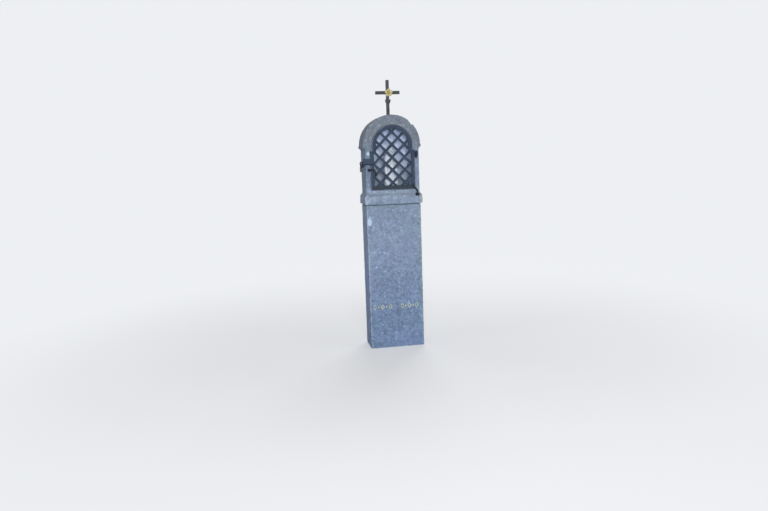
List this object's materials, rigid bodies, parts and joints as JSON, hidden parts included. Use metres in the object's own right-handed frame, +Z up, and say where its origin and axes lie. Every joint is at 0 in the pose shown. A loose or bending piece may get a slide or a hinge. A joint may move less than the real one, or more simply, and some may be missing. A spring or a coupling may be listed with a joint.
{
  "type": "wayside shrine",
  "caption": "Stone pillar shrine with an arched niche behind a hinged iron lattice door, a padlock, a small statuette and an iron cross on top.",
  "frame": {"origin": "on the ground at the middle of the pier's foot", "axes": "+Z up, -Y out of the front with the niche, +X to the right seen from the front"},
  "size_m": [0.504, 0.306, 2.177],
  "materials": {
    "stone": "bush-hammered bluish limestone",
    "mortar": "weathered lime mortar",
    "iron": "rusty wrought iron",
    "door_iron": "worn dark blue-grey paint on wrought iron",
    "lead": "dull grey lead",
    "gilding": "worn gilding",
    "plaster": "weathered white glaze",
    "padlock_case": "dull copper-brown brass",
    "shackle_steel": "dull steel"
  },
  "bodies": {
    "root": {"shaft": "stone", "bed_joint": "mortar", "head_sill": "stone", "head_stone": "stone", "upper_pintle": "iron", "pintle_lead": "lead", "pivot_socket": "iron", "padlock_staple": "iron", "staple_lead": "lead", "cross_upright": "iron", "cross_bar": "iron", "cross_lead": "lead", "cross_rosette": "gilding", "rosette_boss": "gilding", "stem_leaves": "iron", "statue_plinth": "plaster", "statue_robe": "plaster", "statue_mantle": "plaster", "statue_head": "plaster", "statue_hands": "plaster"},
    "door": {"door_arch": "door_iron", "door_closing_stile": "door_iron", "door_hinge_stile": "door_iron", "door_bottom_rail": "door_iron", "door_lattice": "door_iron", "hinge_strap": "door_iron", "pivot_arm": "door_iron", "closing_strap": "door_iron", "door_pull": "door_iron"},
    "padlock": {"padlock_body": "padlock_case", "padlock_shackle": "shackle_steel"}
  },
  "joints": [
    {"name": "door_hinge", "type": "hinge", "parent": "root", "child": "door", "pos_m": [0.194, -0.141, 1.583], "axis": [0, 0, 1], "range_deg": [0, 165]},
    {"name": "padlock_swing", "type": "hinge", "parent": "root", "child": "padlock", "pos_m": [-0.25, -0.093, 1.515], "axis": [0, 1, 0], "range_deg": [-10, 75]}
  ]
}
